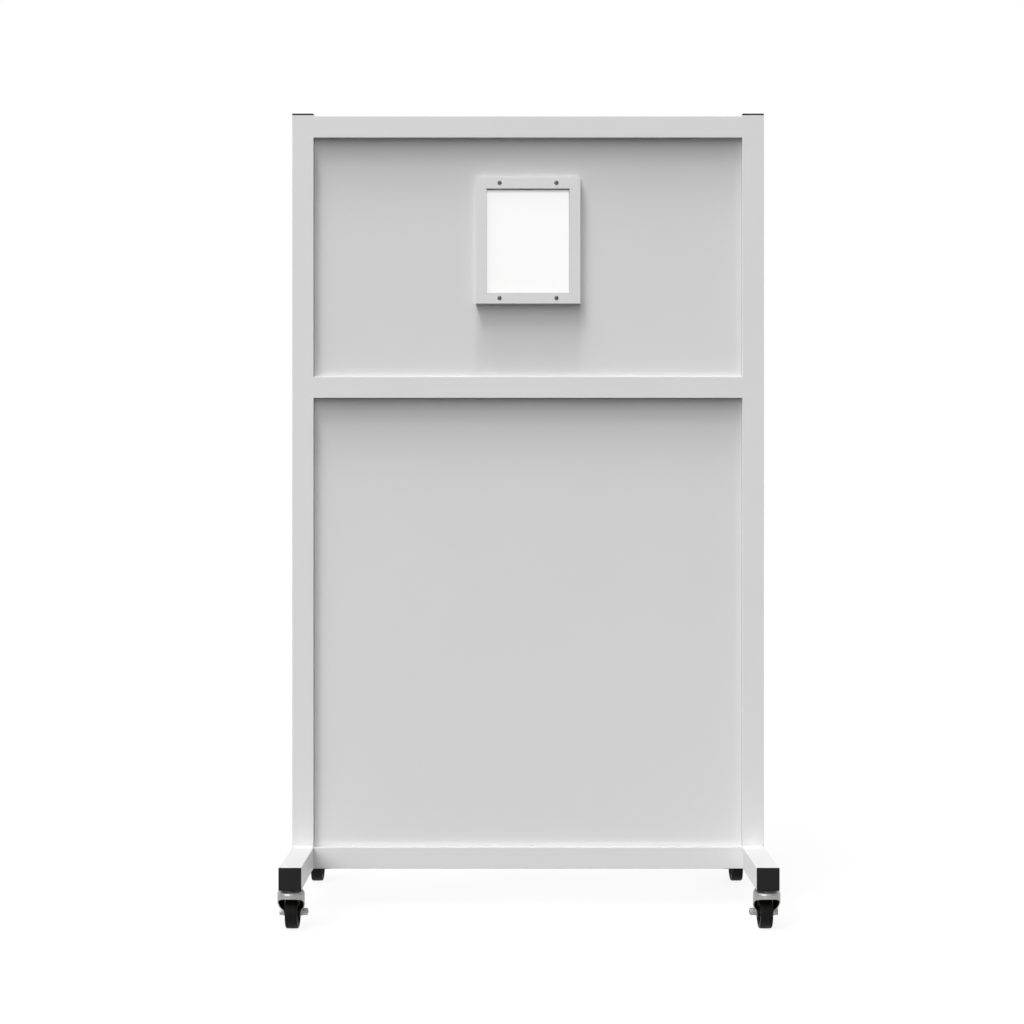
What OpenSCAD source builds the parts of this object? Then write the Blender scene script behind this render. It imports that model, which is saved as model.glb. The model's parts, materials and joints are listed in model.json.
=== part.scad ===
// Mobile lead barrier: a rolling radiation screen with a lead glass window.
// A welded frame of square tube holds two lead-lined panels and stands on four swivel casters.
// Millimetres. +Z is up and the front faces -Y.
// The origin is on the floor, at the middle of the box that the whole barrier fills.

/* [Frame] */
// Side of the square frame tube
tube = 50.8; // [44:0.1:60]
// Wall of the frame tube
tube_wall = 2.1; // [1.6:0.1:3.5]
// Outside corner radius of the frame tube
tube_corner = 1.2; // [0.6:0.1:5]
// Clear width between the two uprights
opening_w = 1016; // [600:1:1500]
// Clear height of the opening for the lower panel
lower_opening_h = 1064; // [600:1:1300]
// Clear height of the opening for the upper panel
upper_opening_h = 566; // [420:1:800]
// How far the uprights stand above the top rail
upright_rise = 2.4; // [0:0.1:30]
// How far a foot tube reaches in front of the middle of its upright
foot_front = 250; // [210:1:400]
// How far a foot tube reaches behind the middle of its upright
foot_rear = 268; // [210:1:400]

/* [End caps] */
// Thickness of the part of a cap that shows
cap_t = 4; // [2:0.1:8]
// Chamfer round the outer face of a cap
cap_chamfer = 0.8; // [0.2:0.1:1.5]
// Depth of the plug that goes into the tube
cap_plug_l = 8; // [5:0.5:8]
// Wall of the plug
cap_plug_wall = 2; // [1.5:0.1:4]
// Room between the plug and the inside of the tube
cap_fit = 0.2; // [0.1:0.05:0.5]

/* [Panels] */
// Thickness of the white laminate on each face of a panel
laminate_t = 0.8; // [0.5:0.1:1.5]
// Thickness of each plywood core
core_t = 11.1; // [9:0.1:15]
// Thickness of the lead sheet between the two cores
lead_t = 1.6; // [0.8:0.1:3]
// Room between the edge of a panel and the tubes
panel_fit = 0.5; // [0.2:0.1:0.9]

/* [Retaining angles] */
// Leg of the small angles that hold a panel in its opening, from behind
angle_leg = 12; // [11:0.1:12.5]
// Thickness of the angles
angle_t = 1.6; // [1.2:0.1:2]
// Largest usual distance between two screws along an angle
screw_pitch = 300; // [150:10:400]
// Distance from the end of an angle to its first screw
screw_end = 40; // [25:1:60]
// Diameter of the screws that go into the panel and into the tubes
screw_d = 3.9; // [3:0.1:4.5]
// Diameter of a screw's head
screw_head_d = 6.8; // [6:0.1:7.2]
// Height of a screw's head
screw_head_h = 2; // [1.5:0.1:2.4]
// Depth of a screw in the panel, below the angle
panel_screw_l = 9; // [6:0.5:9.5]
// Length of a screw in the tube, below the angle
tube_screw_l = 8; // [5:0.5:12]

/* [Window] */
// Width of the clear opening in the window frame
window_w = 196.9; // [150:0.1:260]
// Height of the clear opening in the window frame
window_h = 247.7; // [200:0.1:300]
// Height of the window's middle above the middle rail
window_up = 322.4; // [200:0.1:360]
// Width of the bars of the window frame
bar_w = 25.4; // [20:0.1:32]
// Thickness of the bars of the window frame
bar_t = 12.7; // [8:0.1:14]
// Width and depth of the joint line across each mitred corner
mitre_line = 0.4; // [0.2:0.1:0.6]
// How far the bars lap over the edge of the glass
glass_lap = 3.2; // [2:0.1:6]
// Thickness of the lead glass
glass_t = 7.9; // [6:0.1:9]
// Thickness of the gasket on each side of the glass
gasket_t = 2.3; // [1:0.1:3]
// Room round the glass in the cut-out of the panel
glass_fit = 1; // [0.5:0.1:2]
// Distance between the two screws of a bar
window_screw_gap = 134.7; // [100:0.1:150]
// Diameter of the head of a window screw
window_head_d = 10; // [8:0.1:13]
// Height of the head of a window screw
window_head_h = 2.6; // [2:0.1:4]
// Diameter of the thread of a window screw
window_screw_d = 5; // [4:0.1:6]
// Outside diameter of the sleeve of the nut behind each window screw
sleeve_nut_d = 8; // [7.5:0.1:9]

/* [Casters] */
// Height from the floor to the underside of the feet
caster_h = 96; // [94:0.5:120]
// Distance from the end of a foot tube to a swivel axis
caster_inset = 19; // [19:0.5:60]
// Distance from the swivel axis back to the axle
trail = 30; // [26:0.5:34]
// Diameter of the threaded stem
stem_d = 12; // [10:0.5:14]
// Height of the stem inside the foot
stem_l = 28; // [22:1:34]
// Diameter of the threaded insert in the foot that holds the stem
insert_d = 20; // [17:0.5:20]
// Height of the threaded insert
insert_h = 20; // [12:1:22]
// Diameter of the black washer under the foot
washer_d = 38; // [34:1:50]
// Thickness of the black washer
washer_t = 2.5; // [1.5:0.1:3]
// Diameter of the fixed cup over the ball race
cup_d = 31; // [30:0.5:34]
// Height of the fixed cup
cup_h = 5.2; // [5:0.1:6]
// Diameter of the kingpin that the fork turns on
kingpin_d = 10; // [8:0.5:11]
// Number of balls in a swivel race
ball_count = 12; // [8:1:14]
// Diameter of a ball
ball_d = 4; // [3.6:0.1:4.2]
// Radius of the ring of balls
ball_ring_r = 10.5; // [10:0.1:11]
// Diameter of the round crown of the fork
crown_d = 61; // [58:0.5:66]
// Height of the skirt at the front of the crown
crown_skirt_h = 13; // [10:0.5:15]
// Rounding of the edge of the crown
crown_round = 6; // [4:0.5:8]
// Room between the crown and the washer over it
crown_gap = 2; // [1:0.1:3]
// Sheet thickness of the fork
fork_wall = 2.5; // [2:0.1:3]
// Clear distance between the legs of the fork at the axle
fork_gap = 35; // [34:0.5:40]
// Radius of the rounded lower end of a leg
leg_end_r = 9.5; // [8:0.5:11]
// Height above the axle at which the legs have bent in to the axle's width
leg_bend_low = 0.5; // [0:0.5:4]
// Height of the bend in the legs
leg_bend_h = 22; // [18:1:26]
// Radius of the hollow curve of a leg's front edge
leg_front_r = 71; // [60:1:100]
// Diameter of the boss round the axle hole
boss_d = 17; // [15:0.5:20]
// Height of the boss on the outside of the leg
boss_h = 2.6; // [1:0.1:4]

/* [Axles] */
// Diameter of the axle bolt
axle_d = 8; // [6:0.5:9]
// Width across the flats of the bolt head and the nut
hex_af = 14.5; // [12:0.5:15]
// Height of the bolt head
bolt_head_h = 5.3; // [4:0.1:7]
// Height of the lock nut
nut_h = 11; // [6:0.1:12]
// Thickness of the washer under the bolt head
axle_washer_t = 1.6; // [1:0.1:2]
// Length of thread that stands out of the nut
thread_end = 1.5; // [1:0.1:5]
// Outside diameter of the sleeve that the wheel turns on
sleeve_d = 12; // [11:0.5:14]

/* [Wheels] */
// Diameter of a wheel over the tyre
wheel_d = 75; // [70:0.5:76]
// Width of the tyre
tyre_w = 28; // [22:0.5:30]
// Thickness of the tyre from tread to core
tyre_t = 9; // [6:0.5:11]
// Rounding of the tyre's shoulders
tyre_round = 2.5; // [2:0.5:5]
// How much higher the middle of the tread stands than its edges
tread_crown = 0.5; // [0.2:0.1:1]
// Length of the hub barrel
hub_l = 34; // [32:0.5:34]
// Diameter of the hub barrel
hub_d = 22; // [18:0.5:26]
// Thickness of the web between hub and rim
web_t = 8; // [5:0.5:12]
// Thickness of the rim under the tyre
rim_t = 4; // [3:0.5:6]
// Number of ribs on each side of the web
rib_count = 8; // [4:1:12]
// Thickness of a rib
rib_t = 2.4; // [2:0.1:4]

/* [Brakes] */
// Distance from the axle back to the pin of the brake pedal
brake_back = 15; // [13:0.5:17]
// Height of the pin of the brake pedal above the axle
brake_up = 41.5; // [40:0.5:43]
// Diameter of the pin
brake_pin_d = 5; // [4:0.5:6]
// Radius of the pedal's barrel round the pin
brake_barrel_r = 4.6; // [4:0.1:5]
// Width of the pedal
pedal_w = 34; // [33:0.5:40]
// Length of the pedal behind the pin
pedal_l = 26; // [22:0.5:32]
// Thickness of the pedal
pedal_t = 4; // [3:0.1:5]
// Number of grip ribs on the pedal
pedal_ribs = 4; // [2:1:6]

/* [Hidden] */

// Colours
powder_white = [0.86, 0.86, 0.86];
panel_white = [0.9, 0.9, 0.89];
plywood = [0.72, 0.58, 0.4];
lead_grey = [0.38, 0.4, 0.43];
black_plastic = [0.06, 0.06, 0.06];
black_rubber = [0.05, 0.05, 0.05];
core_grey = [0.16, 0.16, 0.17];
zinc = [0.66, 0.64, 0.62];
dark_steel = [0.22, 0.22, 0.23];
ball_steel = [0.75, 0.75, 0.77];
glass_tint = [0.93, 0.96, 0.93, 0.4];

// Fits and small clearances
run_fit = 0.05;      // between a shaft and the piece that turns on it
swivel_gap = 0.3;    // between the turning crown and what is fixed
drill_fit = 0.15;    // between a screw and its hole
angle_end_gap = 0.5; // between the ends of the retaining angles at a corner
cut = 1;             // how far a cutting shape reaches past the face it cuts
round_fn = 64;
small_fn = 32;

// Levels of the frame
foot_top = caster_h + tube;
mid_rail_z = foot_top + lower_opening_h;
upper_opening_z = mid_rail_z + tube;
top_rail_z = upper_opening_z + upper_opening_h;
upright_top = top_rail_z + tube + upright_rise;

// Width of the frame and the lines that its tubes stand on
upright_x = (opening_w + tube) / 2;
tube_inner_corner = max(0.4, tube_corner - tube_wall);
tube_inside = tube - 2 * tube_wall;

// Casters
axis_front = foot_front - caster_inset;
axis_rear = foot_rear - caster_inset;
axle_z = wheel_d / 2;
wheel_r = wheel_d / 2;
crown_r = crown_d / 2;
cup_top = caster_h - washer_t;
cup_bottom = cup_top - cup_h;
dish_z = cup_bottom - swivel_gap;   // floor of the dish in the crown, under the cup
dish_under = dish_z - fork_wall;
dish_r = cup_d / 2 + 1;
crown_top = cup_top - crown_gap;
crown_under = crown_top - fork_wall;
skirt_z = crown_top - crown_skirt_h;
axle_half = fork_gap / 2 + fork_wall;

// The barrier reaches further back than forward, because its wheels trail backwards and its
// feet are longer behind the uprights
front_reach = max(axis_front + crown_r, foot_front + cap_t);
back_reach = max(axis_rear + trail + wheel_r, foot_rear + cap_t);
frame_y = (front_reach - back_reach) / 2;

// Panels, with y measured from the middle of the frame
panel_t = 2 * (laminate_t + core_t) + lead_t;
panel_face = panel_t / 2;
panel_w = opening_w - 2 * panel_fit;
lower_panel_z = foot_top + panel_fit;
lower_panel_h = lower_opening_h - 2 * panel_fit;
upper_panel_z = upper_opening_z + panel_fit;
upper_panel_h = upper_opening_h - 2 * panel_fit;

// Window
window_z = mid_rail_z + tube + window_up;
glass_w = window_w + 2 * glass_lap;
glass_h = window_h + 2 * glass_lap;
cutout_w = glass_w + 2 * glass_fit;
cutout_h = glass_h + 2 * glass_fit;
frame_w = window_w + 2 * bar_w;
frame_h = window_h + 2 * bar_w;
glass_y = -panel_face + gasket_t;
liner_y = glass_y + glass_t + gasket_t;
window_screw_x = window_screw_gap / 2;
window_screw_up = (window_h + bar_w) / 2;
window_screw_places = [for (sx = [-1, 1], sz = [-1, 1])
    [sx * window_screw_x, window_z + sz * window_screw_up]];

// Squares and tubes

module rounded_square(size, r) {
    union() {
        square([size, size - 2 * r], center = true);
        square([size - 2 * r, size], center = true);
        for (sx = [-1, 1], sy = [-1, 1])
            translate([sx * (size / 2 - r), sy * (size / 2 - r)])
                circle(r = r, $fn = small_fn);
    }
}

module tube_section() {
    difference() {
        rounded_square(tube, tube_corner);
        rounded_square(tube_inside, tube_inner_corner);
    }
}

// A tube standing up from the origin
module square_tube(l) {
    linear_extrude(l) tube_section();
}

// A hole along Y
module hole_y(d, y0, y1) {
    translate([0, y0, 0])
        rotate([-90, 0, 0])
            cylinder(d = d, h = y1 - y0, $fn = small_fn);
}

// Everything that belongs to the frame is placed from the frame's middle plane
module in_frame() {
    translate([0, frame_y, 0]) children();
}

// Where a swivel axis and the end of a foot tube lie: end is -1 in front and 1 at the rear
function axis_y(end) = end < 0 ? -axis_front : axis_rear;
function foot_end_y(end) = end < 0 ? -foot_front : foot_rear;

// Frame

// Holes through one wall of the tubes round an opening, for the screws of its angles
module tube_screw_holes(z, h) {
    on_sides(z, h)
        for (x = screw_places($side_l))
            translate([x, tube_screw_back, -tube_wall - cut])
                cylinder(d = screw_d + 2 * drill_fit, h = tube_wall + 2 * cut, $fn = small_fn);
}
module lower_opening_holes() { tube_screw_holes(foot_top, lower_opening_h); }
module upper_opening_holes() { tube_screw_holes(upper_opening_z, upper_opening_h); }

module upright(side) {
    color(powder_white)
        in_frame()
            difference() {
                translate([side * upright_x, 0, foot_top])
                    square_tube(upright_top - foot_top);
                lower_opening_holes();
                upper_opening_holes();
            }
}

// A rail, less the holes that are its children
module rail(z) {
    color(powder_white)
        in_frame()
            difference() {
                translate([-opening_w / 2, 0, z + tube / 2])
                    rotate([0, 90, 0])
                        square_tube(opening_w);
                children();
            }
}

module foot(side) {
    color(powder_white)
        in_frame()
            difference() {
                translate([side * upright_x, foot_rear, caster_h + tube / 2])
                    rotate([90, 0, 0])
                        square_tube(foot_front + foot_rear);
                for (end = [-1, 1])
                    translate([side * upright_x, axis_y(end), caster_h - cut])
                        cylinder(d = stem_d + 2 * drill_fit, h = tube_wall + 2 * cut,
                            $fn = round_fn);
            }
}

module left_upright() { upright(-1); }
module right_upright() { upright(1); }
module top_rail() {
    rail(top_rail_z) upper_opening_holes();
}
module middle_rail() {
    rail(mid_rail_z) {
        lower_opening_holes();
        upper_opening_holes();
    }
}
module bottom_rail() {
    rail(caster_h) lower_opening_holes();
}
module left_foot() { foot(-1); }
module right_foot() { foot(1); }

// Outline of a cap's edge, which is chamfered on its outer face
module cap_edge() {
    polygon([[-tube / 2, 0], [tube / 2, 0], [tube / 2, cap_t - cap_chamfer],
        [tube / 2 - cap_chamfer, cap_t], [-tube / 2 + cap_chamfer, cap_t],
        [-tube / 2, cap_t - cap_chamfer]]);
}

// A cap with its plug pointing down
module end_cap() {
    plug = tube_inside - 2 * cap_fit;
    rib_t = cap_plug_wall / 2;
    color(black_plastic)
        union() {
            intersection() {
                linear_extrude(cap_t) rounded_square(tube, tube_corner);
                for_both_ways(tube) cap_edge();
            }
            translate([0, 0, -cap_plug_l])
                linear_extrude(cap_plug_l + cap_t / 2)
                    difference() {
                        rounded_square(plug, tube_inner_corner);
                        rounded_square(plug - 2 * cap_plug_wall, tube_inner_corner);
                    }
            for (turn = [0, 90])
                rotate(turn)
                    translate([0, 0, -cap_plug_l / 2 + cap_t / 4])
                        cube([plug - cap_plug_wall, rib_t, cap_plug_l + cap_t / 2],
                            center = true);
        }
}

// The shape that has the same outline from the front and from the side
module for_both_ways(l) {
    intersection() {
        rotate([90, 0, 0]) translate([0, 0, -l / 2]) linear_extrude(l) children();
        rotate([90, 0, 90]) translate([0, 0, -l / 2]) linear_extrude(l) children();
    }
}

module upright_caps() {
    in_frame()
        for (side = [-1, 1])
            translate([side * upright_x, 0, upright_top])
                end_cap();
}

module foot_caps() {
    in_frame()
        for (side = [-1, 1], end = [-1, 1])
            translate([side * upright_x, foot_end_y(end), caster_h + tube / 2])
                rotate([end * -90, 0, 0])
                    end_cap();
}

// Panels

// One flat layer of a panel, from y0 to y1
module layer(z, h, y0, y1) {
    translate([-panel_w / 2, y0, z]) cube([panel_w, y1 - y0, h]);
}

// What the window needs cut out of every layer of the upper panel
module window_cuts() {
    translate([-cutout_w / 2, -panel_t, window_z - cutout_h / 2])
        cube([cutout_w, 2 * panel_t, cutout_h]);
    for (place = window_screw_places)
        translate([place[0], 0, place[1]])
            hole_y(sleeve_nut_d + 2 * drill_fit, -panel_t, panel_t);
}

module upper_layer(y0, y1) {
    in_frame()
        difference() {
            layer(upper_panel_z, upper_panel_h, y0, y1);
            window_cuts();
            panel_screw_holes(upper_opening_z, upper_opening_h);
        }
}

module lower_layer(y0, y1) {
    in_frame()
        difference() {
            layer(lower_panel_z, lower_panel_h, y0, y1);
            panel_screw_holes(foot_top, lower_opening_h);
        }
}

module upper_front_laminate() {
    color(panel_white) upper_layer(-panel_face, -panel_face + laminate_t);
}
module upper_front_core() {
    color(plywood) upper_layer(-panel_face + laminate_t, -lead_t / 2);
}
module upper_lead_sheet() {
    color(lead_grey) upper_layer(-lead_t / 2, lead_t / 2);
}
module upper_back_core() {
    color(plywood) upper_layer(lead_t / 2, panel_face - laminate_t);
}
module upper_back_laminate() {
    color(panel_white) upper_layer(panel_face - laminate_t, panel_face);
}
module lower_front_laminate() {
    color(panel_white) lower_layer(-panel_face, -panel_face + laminate_t);
}
module lower_front_core() {
    color(plywood) lower_layer(-panel_face + laminate_t, -lead_t / 2);
}
module lower_lead_sheet() {
    color(lead_grey) lower_layer(-lead_t / 2, lead_t / 2);
}
module lower_back_core() {
    color(plywood) lower_layer(lead_t / 2, panel_face - laminate_t);
}
module lower_back_laminate() {
    color(panel_white) lower_layer(panel_face - laminate_t, panel_face);
}

// Retaining angles, behind each panel

// The four sides of an opening: the middle of each side, its turn and its length
function opening_sides(z, h) = [
    [0, z, 0, opening_w],
    [0, z + h, 180, opening_w],
    [-opening_w / 2, z + h / 2, 90, h - 2 * (angle_leg + angle_end_gap)],
    [opening_w / 2, z + h / 2, -90, h - 2 * (angle_leg + angle_end_gap)]];

// Screw places along a side of length l, measured from its middle
function screw_count(l) = max(2, round(l / screw_pitch) + 1);
function screw_places(l) = [for (i = [0 : screw_count(l) - 1])
    (i / (screw_count(l) - 1) - 0.5) * (l - 2 * screw_end)];

// Puts its children on each side of an opening: x along the side, z into the opening
module on_sides(z, h) {
    for (s = opening_sides(z, h))
        translate([s[0], panel_face, s[1]])
            rotate([0, s[2], 0]) {
                $side_l = s[3];
                children();
            }
}

panel_screw_in = angle_leg - screw_head_d / 2 - 1;   // from the tube to a screw in the panel
tube_screw_back = angle_leg - screw_head_d / 2 - 1;  // from the panel to a screw in the tube

module panel_screw_holes(z, h) {
    on_sides(z, h)
        for (x = screw_places($side_l))
            translate([x, 0, panel_screw_in])
                hole_y(screw_d + 2 * drill_fit, -panel_screw_l, angle_t + cut);
}

module retaining_angles(z, h) {
    color(powder_white)
        in_frame()
            on_sides(z, h)
                difference() {
                    translate([-$side_l / 2, 0, 0]) cube([$side_l, angle_leg, angle_leg]);
                    translate([-$side_l / 2 - cut, angle_t, angle_t])
                        cube([$side_l + 2 * cut, angle_leg, angle_leg]);
                    for (x = screw_places($side_l)) {
                        translate([x, 0, panel_screw_in])
                            hole_y(screw_d + 2 * drill_fit, -cut, angle_t + cut);
                        translate([x, tube_screw_back, -cut])
                            cylinder(d = screw_d + 2 * drill_fit, h = angle_t + 2 * cut,
                                $fn = small_fn);
                    }
                }
}
module upper_retaining_angles() { retaining_angles(upper_opening_z, upper_opening_h); }
module lower_retaining_angles() { retaining_angles(foot_top, lower_opening_h); }

// A screw along -Z, with the underside of its domed head at z = 0
module screw(d, l, head_d, head_h) {
    sphere_r = (head_d * head_d / 4 + head_h * head_h) / (2 * head_h);
    union() {
        translate([0, 0, -l]) cylinder(d = d, h = l + head_h / 2, $fn = small_fn);
        intersection() {
            cylinder(d = head_d, h = head_h, $fn = small_fn);
            translate([0, 0, head_h - sphere_r]) sphere(r = sphere_r, $fn = small_fn);
        }
    }
}

module screws_round_opening(z, h) {
    on_sides(z, h)
        for (x = screw_places($side_l)) {
            translate([x, angle_t, panel_screw_in])
                rotate([-90, 0, 0])
                    screw(screw_d, panel_screw_l + angle_t - drill_fit, screw_head_d,
                        screw_head_h);
            translate([x, tube_screw_back, angle_t])
                screw(screw_d, tube_screw_l + angle_t, screw_head_d, screw_head_h);
        }
}

module retaining_screws() {
    color(dark_steel)
        in_frame() {
            screws_round_opening(foot_top, lower_opening_h);
            screws_round_opening(upper_opening_z, upper_opening_h);
        }
}

// Window

// A flat ring with a rectangular opening, from y0 to y1
module ring(outer_w, outer_h, inner_w, inner_h, y0, y1) {
    translate([0, 0, window_z])
        difference() {
            translate([-outer_w / 2, y0, -outer_h / 2]) cube([outer_w, y1 - y0, outer_h]);
            translate([-inner_w / 2, y0 - cut, -inner_h / 2])
                cube([inner_w, y1 - y0 + 2 * cut, inner_h]);
        }
}

// Shallow joint lines across the corners of a window frame, on the face at y
module mitre_lines(y) {
    for (sx = [-1, 1], sz = [-1, 1])
        translate([sx * (window_w + bar_w) / 2, y, window_z + sz * (window_h + bar_w) / 2])
            rotate([0, -sx * sz * 45, 0])
                cube([3 * bar_w, 2 * mitre_line, mitre_line], center = true);
}

module window_frame(y0, y1, face_y, hole_d) {
    color(powder_white)
        in_frame()
            difference() {
                ring(frame_w, frame_h, window_w, window_h, y0, y1);
                mitre_lines(face_y);
                for (place = window_screw_places)
                    translate([place[0], 0, place[1]])
                        hole_y(hole_d + 2 * drill_fit, y0 - cut, y1 + cut);
            }
}
module window_frame_front() {
    window_frame(-panel_face - bar_t, -panel_face, -panel_face - bar_t, window_screw_d);
}
module window_frame_rear() {
    window_frame(panel_face, panel_face + bar_t, panel_face + bar_t, sleeve_nut_d);
}

module window_gaskets() {
    color(black_rubber)
        in_frame() {
            ring(glass_w, glass_h, window_w, window_h, -panel_face, glass_y);
            ring(glass_w, glass_h, window_w, window_h, glass_y + glass_t, liner_y);
        }
}

module lead_glass() {
    color(glass_tint)
        in_frame()
            translate([-glass_w / 2, glass_y, window_z - glass_h / 2])
                cube([glass_w, glass_t, glass_h]);
}

// The painted sleeve that fills the cut-out between the glass and the rear window frame
module window_liner() {
    color(powder_white)
        in_frame()
            ring(glass_w, glass_h, window_w, window_h, liner_y, panel_face);
}

window_screw_l = bar_t + panel_t;   // the screw ends inside the sleeve of its nut

module window_screws() {
    color(dark_steel)
        in_frame()
            for (place = window_screw_places)
                translate([place[0], -panel_face - bar_t, place[1]])
                    rotate([90, 0, 0])
                        screw(window_screw_d, window_screw_l, window_head_d, window_head_h);
}

// Domed nuts whose sleeves reach forward through the rear frame and the panel
module window_sleeve_nuts() {
    color(dark_steel)
        in_frame()
            for (place = window_screw_places)
                translate([place[0], panel_face + bar_t, place[1]])
                    rotate([-90, 0, 0])
                        difference() {
                            screw(sleeve_nut_d, bar_t + panel_t, window_head_d, window_head_h);
                            translate([0, 0, -bar_t - panel_t - cut])
                                cylinder(d = window_screw_d + 2 * run_fit,
                                    h = panel_t + bar_t + cut, $fn = small_fn);
                        }
}

// Fixed pieces of the casters

module at_casters() {
    in_frame()
        for (side = [-1, 1], end = [-1, 1])
            translate([side * upright_x, axis_y(end), 0])
                children();
}

module stem_inserts() {
    color(zinc)
        at_casters()
            translate([0, 0, caster_h + tube_wall])
                difference() {
                    cylinder(d = insert_d, h = insert_h, $fn = round_fn);
                    translate([0, 0, -cut])
                        cylinder(d = stem_d + 2 * run_fit, h = insert_h + 2 * cut,
                            $fn = round_fn);
                }
}

module caster_washers() {
    color(black_plastic)
        at_casters()
            translate([0, 0, cup_top])
                difference() {
                    cylinder(d = washer_d, h = washer_t, $fn = round_fn);
                    translate([0, 0, -cut])
                        cylinder(d = stem_d + 2 * drill_fit, h = washer_t + 2 * cut,
                            $fn = round_fn);
                }
}

ball_z = dish_z + ball_d / 2 - 0.4;      // the balls sink a little into the dish's groove
race_ceiling = ball_z + ball_d / 2 - 1;  // underside of the cup inside its skirt
cup_wall = 2;
cup_round = 2.4;
kingpin_head_r = 12;
kingpin_washer_t = 2;
kingpin_head_h = 2.6;
stem_chamfer = 1.2;

// Half outline of the stem with its cup and its riveted kingpin
module stem_outline() {
    cup_r = cup_d / 2;
    stem_r = stem_d / 2;
    stem_top = caster_h + stem_l;
    pin_low = dish_under - swivel_gap;
    union() {
        square_between(0, cup_top - cut, stem_r, stem_top - stem_chamfer);
        polygon([[0, stem_top - stem_chamfer], [stem_r, stem_top - stem_chamfer],
            [stem_r - stem_chamfer, stem_top], [0, stem_top]]);
        difference() {
            union() {
                square_between(0, cup_bottom, cup_r, cup_top - cup_round);
                square_between(0, cup_top - cup_round, cup_r - cup_round, cup_top);
                translate([cup_r - cup_round, cup_top - cup_round])
                    circle(r = cup_round, $fn = small_fn);
            }
            square_between(kingpin_d / 2, cup_bottom - cut, cup_r - cup_wall, race_ceiling);
            translate([ball_ring_r, ball_z]) circle(r = ball_d / 2 + run_fit, $fn = small_fn);
        }
        square_between(0, pin_low - cut, kingpin_d / 2, cup_top - cut);
        square_between(0, pin_low - kingpin_washer_t, kingpin_head_r, pin_low);
        polygon([[0, pin_low - kingpin_washer_t],
            [kingpin_d * 0.8, pin_low - kingpin_washer_t],
            [kingpin_d / 2, pin_low - kingpin_washer_t - kingpin_head_h],
            [0, pin_low - kingpin_washer_t - kingpin_head_h]]);
    }
}

module square_between(x0, y0, x1, y1) {
    translate([x0, y0]) square([x1 - x0, y1 - y0]);
}

module caster_stems() {
    color(zinc)
        at_casters()
            rotate_extrude($fn = round_fn)
                stem_outline();
}

module swivel_balls() {
    color(ball_steel)
        at_casters()
            for (i = [0 : ball_count - 1])
                rotate(i * 360 / ball_count)
                    translate([ball_ring_r, 0, ball_z])
                        sphere(d = ball_d, $fn = small_fn);
}

// Fork: a round crown whose sides run down and back into two legs for the axle.
// It is drawn round its own swivel axis, with the trail along +Y.

pedal_side_gap = 0.6;             // between the pedal and each leg
leg_rear_half = pedal_w / 2 + pedal_side_gap + fork_wall;   // half the width over the legs
leg_rear_y = trail + brake_back + 7;
leg_round_r = crown_r - 0.2;      // the legs start as a round wall just within the crown's
leg_low_z = axle_z - leg_end_r;
leg_bend_z = axle_z + leg_bend_low;
leg_bend_top = leg_bend_z + leg_bend_h;   // the sides of the fork are upright above this
leg_top_z = crown_top - crown_round;
bend_steps = 8;                   // flat strips in each half of a leg's S bend
brake_y = trail + brake_back;
brake_z = axle_z + brake_up;
ear_r = brake_pin_d / 2 + 4;

// Plan of what lies between the outsides of the legs, less a margin on each side: round
// under the crown and straight behind it
module leg_plan(y0, y1, margin) {
    half = leg_rear_half - margin;
    union() {
        intersection() {
            circle(r = leg_round_r - margin, $fn = round_fn);
            square_between(-crown_r, y0, crown_r, y1);
        }
        square_between(-half, y0, half, y1);
    }
}

function arc_points(x, y, r, from, to, steps) =
    [for (i = [0 : steps]) let (a = from + (to - from) * i / steps)
        [x + r * cos(a), y + r * sin(a)]];

// One half of the front view: straight sides at half width top_x, and an S bend in to low_x
module half_front(top_x, low_x, top_z) {
    turn = 2 * atan((top_x - low_x) / leg_bend_h);
    bend_r = leg_bend_h / 2 / sin(turn);
    polygon(concat(
        [[0, top_z], [top_x, top_z]],
        arc_points(top_x - bend_r, leg_bend_top, bend_r, 0, -turn, bend_steps),
        arc_points(low_x + bend_r, leg_bend_z, bend_r, 180 - turn, 180, bend_steps),
        [[low_x, leg_low_z - cut], [0, leg_low_z - cut]]));
}

module front_view(top_x, low_x, top_z) {
    union() {
        half_front(top_x, low_x, top_z);
        mirror([1, 0]) half_front(top_x, low_x, top_z);
    }
}

// Side view of the fork, with y to the right
module side_view() {
    front_low = [-crown_r, skirt_z];
    axle_front = [trail - leg_end_r, axle_z - 2];
    middle = (front_low + axle_front) / 2;
    half = norm(axle_front - front_low) / 2;
    along = (axle_front - front_low) / (2 * half);
    away = [along[1], -along[0]];
    centre = middle + away * sqrt(leg_front_r * leg_front_r - half * half);
    union() {
        difference() {
            polygon([[-crown_r - cut, crown_top + cut], [-crown_r - cut, skirt_z],
                front_low, axle_front, [trail + leg_end_r, axle_z],
                [brake_y + ear_r, brake_z - 2], [brake_y + ear_r, crown_top + cut]]);
            translate(centre) circle(r = leg_front_r, $fn = 2 * round_fn);
            // the rear corner falls away behind the ear
            translate([brake_y, brake_z])
                difference() {
                    square_between(0, 0, 2 * ear_r, 2 * ear_r);
                    circle(r = ear_r, $fn = round_fn);
                }
        }
        translate([trail, axle_z]) circle(r = leg_end_r, $fn = round_fn);
    }
}

// A shape drawn in the side view, made solid across the whole fork
module across(half) {
    rotate([90, 0, 90])
        translate([0, 0, -half])
            linear_extrude(2 * half)
                children();
}

module cylinder_x(d, x0, x1) {
    translate([x0, 0, 0]) rotate([0, 90, 0]) cylinder(d = d, h = x1 - x0, $fn = round_fn);
}

// Half outline of a dome with straight sides that start at the height low
module dome_outline(r, low, top, edge_round) {
    union() {
        square_between(0, low, r, top - edge_round);
        square_between(0, top - edge_round, r - edge_round, top);
        translate([r - edge_round, top - edge_round]) circle(r = edge_round, $fn = small_fn);
    }
}

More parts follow.
